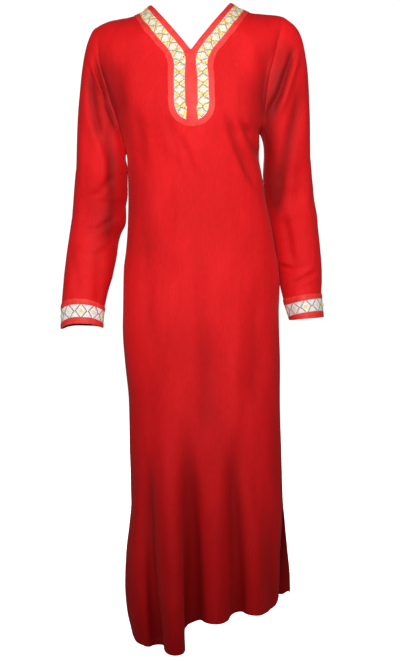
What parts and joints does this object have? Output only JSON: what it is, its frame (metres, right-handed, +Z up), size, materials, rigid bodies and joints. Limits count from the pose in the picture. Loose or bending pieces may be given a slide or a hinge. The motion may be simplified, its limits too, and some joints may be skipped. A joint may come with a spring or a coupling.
{
  "type": "abaya",
  "caption": "Long red pull-on abaya with long sleeves, coral bands and white jewelled ribbon at its slit V neck and cuffs, side slits, filled out as worn.",
  "frame": {"origin": "between the tops of the shoulders, where the wearer carries the garment", "axes": "+Z up along the body, -Y towards the front of the garment, -X towards the wearer's right side"},
  "size_m": [0.562, 0.3134, 1.3549],
  "materials": {
    "cloth_red": "matt, soft crepe",
    "band_coral": "soft satin",
    "ribbon_white": "woven, with gold glass stones"
  },
  "bodies": {
    "root": {"front_panel": "cloth_red", "back_panel": "cloth_red", "sleeve_right": "cloth_red", "sleeve_left": "cloth_red", "neck_binding_right": "band_coral", "neck_binding_left": "band_coral", "neck_band_front": "band_coral", "back_neck_binding": "band_coral", "back_neck_band": "band_coral", "cuff_upper_band_right": "band_coral", "cuff_lower_band_right": "band_coral", "cuff_upper_band_left": "band_coral", "cuff_lower_band_left": "band_coral", "neck_ribbon_right": "ribbon_white", "neck_ribbon_left": "ribbon_white", "back_neck_ribbon": "ribbon_white", "cuff_ribbon_right": "ribbon_white", "cuff_ribbon_left": "ribbon_white"}
  },
  "joints": []
}
